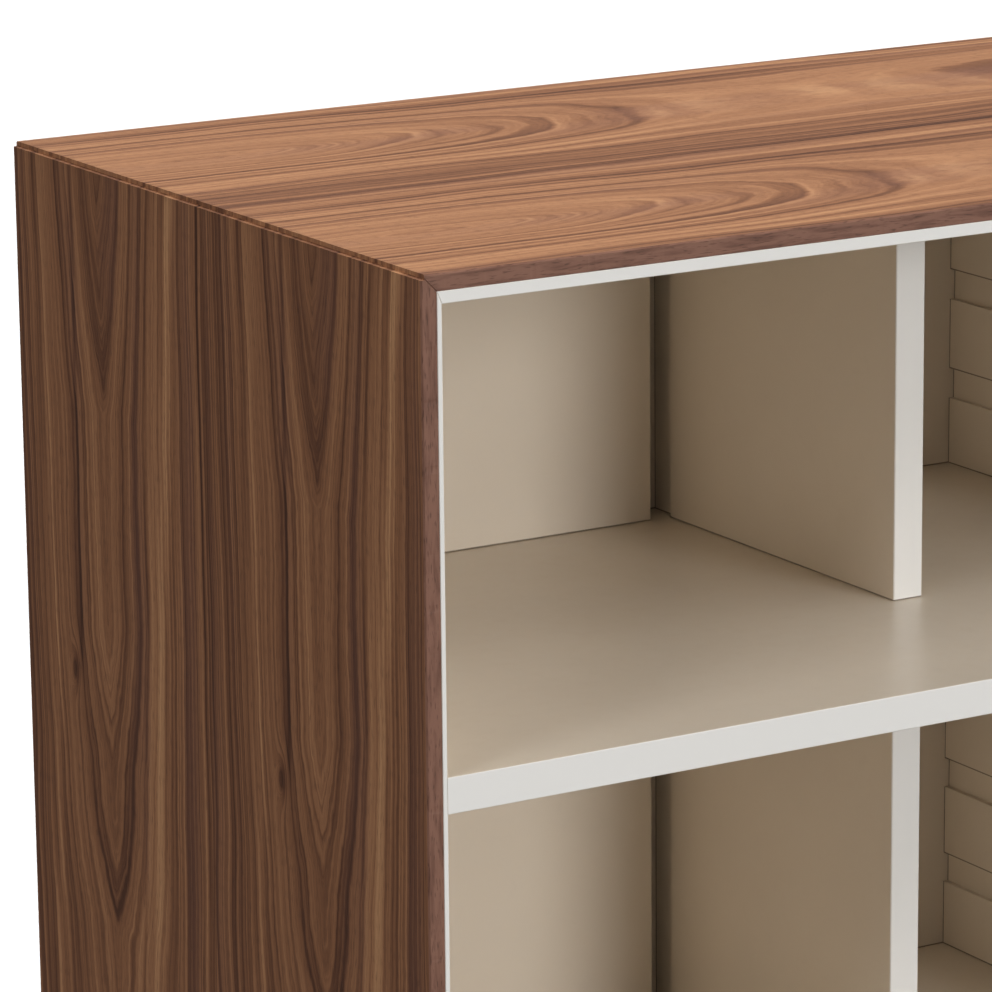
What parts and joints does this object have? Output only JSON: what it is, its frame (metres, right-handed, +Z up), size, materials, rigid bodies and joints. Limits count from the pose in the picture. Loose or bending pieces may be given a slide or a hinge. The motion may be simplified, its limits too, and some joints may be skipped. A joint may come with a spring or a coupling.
{
  "type": "cube storage unit",
  "caption": "Open storage unit with a mitred walnut shell, a cream lacquered lining, set-back dividers, sliding trays and levelling feet.",
  "frame": {"origin": "on the floor, under the middle of the unit", "axes": "+X along the width to the right seen from the front, +Y from the open front to the wall, +Z up"},
  "size_m": [0.955, 0.422, 0.849],
  "materials": {
    "walnut_veneer": "open-pore satin oil",
    "cream_lacquer": "smooth satin lacquer",
    "raw_timber": "planed, unfinished",
    "beech": "turned, unfinished",
    "zinc_steel": "zinc plated",
    "black_plastic": "moulded, fine texture"
  },
  "bodies": {
    "unit": {"back_panel": "cream_lacquer", "back_panel_screws": "zinc_steel", "bottom_batten": "raw_timber", "bottom_guide_strips": "cream_lacquer", "bottom_left_cover": "cream_lacquer", "bottom_left_divider": "cream_lacquer", "bottom_liner": "cream_lacquer", "bottom_panel": "walnut_veneer", "bottom_right_cover": "cream_lacquer", "bottom_right_divider": "cream_lacquer", "corner_splines": "beech", "cover_spacers": "raw_timber", "divider_dowels": "beech", "divider_lippings": "cream_lacquer", "foot_inserts": "zinc_steel", "left_batten": "raw_timber", "left_liner": "cream_lacquer", "left_side_panel": "walnut_veneer", "left_wall_plate": "zinc_steel", "lower_shelf": "cream_lacquer", "middle_guide_strips": "cream_lacquer", "middle_left_cover": "cream_lacquer", "middle_left_divider": "cream_lacquer", "middle_right_cover": "cream_lacquer", "middle_right_divider": "cream_lacquer", "right_batten": "raw_timber", "right_liner": "cream_lacquer", "right_side_panel": "walnut_veneer", "right_wall_plate": "zinc_steel", "shelf_cam_bolts": "zinc_steel", "shelf_cam_locks": "zinc_steel", "shelf_dowels": "beech", "top_batten": "raw_timber", "top_guide_strips": "cream_lacquer", "top_left_cover": "cream_lacquer", "top_left_divider": "cream_lacquer", "top_liner": "cream_lacquer", "top_panel": "walnut_veneer", "top_right_cover": "cream_lacquer", "top_right_divider": "cream_lacquer", "upper_shelf": "cream_lacquer", "wall_plate_screws": "zinc_steel"},
    "front_left_foot": {"front_left_foot_pad": "black_plastic", "front_left_foot_stud": "zinc_steel"},
    "front_right_foot": {"front_right_foot_pad": "black_plastic", "front_right_foot_stud": "zinc_steel"},
    "rear_left_foot": {"rear_left_foot_pad": "black_plastic", "rear_left_foot_stud": "zinc_steel"},
    "rear_right_foot": {"rear_right_foot_pad": "black_plastic", "rear_right_foot_stud": "zinc_steel"},
    "lower_tray": {"lower_tray": "cream_lacquer", "lower_tray_runners": "cream_lacquer"},
    "upper_tray": {"upper_tray": "cream_lacquer", "upper_tray_runners": "cream_lacquer"}
  },
  "joints": [
    {"name": "front_left_foot_screw", "type": "slide", "parent": "unit", "child": "front_left_foot", "axis": [0, 0, -1], "range_m": [0, 0.006]},
    {"name": "front_right_foot_screw", "type": "slide", "parent": "unit", "child": "front_right_foot", "axis": [0, 0, -1], "range_m": [0, 0.006]},
    {"name": "rear_left_foot_screw", "type": "slide", "parent": "unit", "child": "rear_left_foot", "axis": [0, 0, -1], "range_m": [0, 0.006]},
    {"name": "rear_right_foot_screw", "type": "slide", "parent": "unit", "child": "rear_right_foot", "axis": [0, 0, -1], "range_m": [0, 0.006]},
    {"name": "lower_tray_slide", "type": "slide", "parent": "unit", "child": "lower_tray", "axis": [0, -1, 0], "range_m": [0, 0.11]},
    {"name": "upper_tray_slide", "type": "slide", "parent": "unit", "child": "upper_tray", "axis": [0, -1, 0], "range_m": [0, 0.11]}
  ]
}
